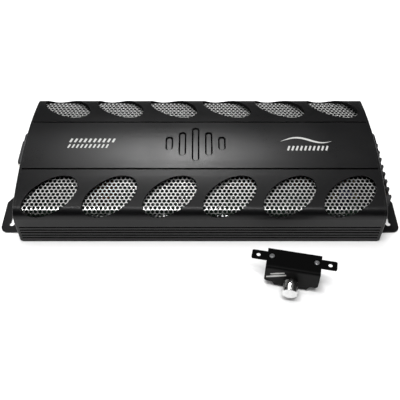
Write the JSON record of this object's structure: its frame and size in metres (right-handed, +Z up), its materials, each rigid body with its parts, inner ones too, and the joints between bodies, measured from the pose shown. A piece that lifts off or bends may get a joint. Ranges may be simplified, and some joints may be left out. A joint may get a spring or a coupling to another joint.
{
  "type": "car amplifier",
  "caption": "Low black car audio amplifier with an arched finned heat sink, slanted oval vents over bright perforated sheet, mounting ears and a small wired level control box.",
  "frame": {"origin": "centre of the amplifier's flat underside", "axes": "+X along the body towards the power terminals, +Y towards the rear, +Z up"},
  "size_m": [0.45, 0.2665, 0.0605],
  "materials": {
    "black_coat": "satin powder coat with a fine grain",
    "bright_sheet": "bright perforated sheet",
    "black_screw": "black oxide",
    "zinc_steel": "zinc plated",
    "brass": "plain brass",
    "nickel": "bright nickel plate",
    "copper_wire": "enamelled copper wire",
    "ferrite": "coated ferrite",
    "board": "green solder mask",
    "capacitor_sleeve": "shrink sleeve",
    "chip": "moulded epoxy",
    "thermal_pad": "silicone pad",
    "terminal_plastic": "moulded nylon",
    "fuse_plastic": "smoked moulding",
    "white_plastic": "moulded insulator",
    "knob_plastic": "moulded knob",
    "green_lens": "tinted lens",
    "red_lens": "tinted lens",
    "bright_tray": "plain plated steel",
    "turned_metal": "turned and polished"
  },
  "bodies": {
    "amplifier": {"heat_sink": "black_coat", "bottom_plate": "black_coat", "left_end_panel": "black_coat", "right_end_panel": "black_coat", "front_mesh": "bright_sheet", "rear_mesh": "bright_sheet", "left_panel_screws": "black_screw", "right_panel_screws": "black_screw", "bottom_screws": "black_screw", "main_board": "board", "board_standoffs": "brass", "board_screws": "zinc_steel", "toroid_cores": "ferrite", "toroid_windings": "copper_wire", "inductor_cores": "ferrite", "inductor_windings": "copper_wire", "rail_capacitors": "capacitor_sleeve", "input_capacitors": "capacitor_sleeve", "front_transistors": "chip", "rear_transistors": "chip", "front_thermal_pad": "thermal_pad", "rear_thermal_pad": "thermal_pad", "clamp_bars": "zinc_steel", "clamp_screws": "zinc_steel", "control_chips": "chip", "power_busbars": "brass", "terminal_block": "terminal_plastic", "terminal_clamps": "brass", "terminal_screws": "nickel", "fuse_holder": "terminal_plastic", "rca_housing": "terminal_plastic", "socket_hood": "terminal_plastic", "rca_barrels": "nickel", "rca_cores": "white_plastic", "control_socket": "terminal_plastic", "control_pots": "zinc_steel", "switch_bodies": "zinc_steel", "power_led": "green_lens", "protect_led": "red_lens"},
    "front_fuse_body": {"front_fuse": "fuse_plastic"},
    "rear_fuse_body": {"rear_fuse": "fuse_plastic"},
    "gain_dial": {"gain_knob": "knob_plastic"},
    "filter_dial": {"filter_knob": "knob_plastic"},
    "boost_dial": {"boost_knob": "knob_plastic"},
    "mode_lever": {"mode_switch_slider": "knob_plastic"},
    "phase_lever": {"phase_switch_slider": "knob_plastic"},
    "level_control": {"remote_cover": "black_coat", "remote_chassis": "bright_tray", "remote_board": "board", "remote_socket": "terminal_plastic", "remote_pot": "zinc_steel", "remote_nut": "nickel", "remote_screws": "zinc_steel"},
    "level_dial": {"remote_knob": "turned_metal"}
  },
  "joints": [
    {"name": "gain_turn", "type": "hinge", "parent": "amplifier", "child": "gain_dial", "pos_m": [-0.2, 0.038, 0.019], "axis": [-1, 0, 0], "range_deg": [-140, 140]},
    {"name": "filter_turn", "type": "hinge", "parent": "amplifier", "child": "filter_dial", "pos_m": [-0.2, 0.0515, 0.019], "axis": [-1, 0, 0], "range_deg": [-140, 140]},
    {"name": "boost_turn", "type": "hinge", "parent": "amplifier", "child": "boost_dial", "pos_m": [-0.2, 0.065, 0.019], "axis": [-1, 0, 0], "range_deg": [-140, 140]},
    {"name": "mode_switch", "type": "slide", "parent": "amplifier", "child": "mode_lever", "axis": [0, 1, 0], "range_m": [0, 0.003]},
    {"name": "phase_switch", "type": "slide", "parent": "amplifier", "child": "phase_lever", "axis": [0, 1, 0], "range_m": [0, 0.003]},
    {"name": "front_fuse_pull", "type": "slide", "parent": "amplifier", "child": "front_fuse_body", "axis": [1, 0, 0], "range_m": [0, 0.018]},
    {"name": "rear_fuse_pull", "type": "slide", "parent": "amplifier", "child": "rear_fuse_body", "axis": [1, 0, 0], "range_m": [0, 0.018]},
    {"name": "level_control_lift", "type": "slide", "parent": "amplifier", "child": "level_control", "axis": [0, 0, 1], "range_m": [0, 0.08]},
    {"name": "level_turn", "type": "hinge", "parent": "level_control", "child": "level_dial", "pos_m": [0.09431, -0.15578, 0.0126], "axis": [-0.1908, -0.9816, 0], "range_deg": [-140, 140]}
  ]
}
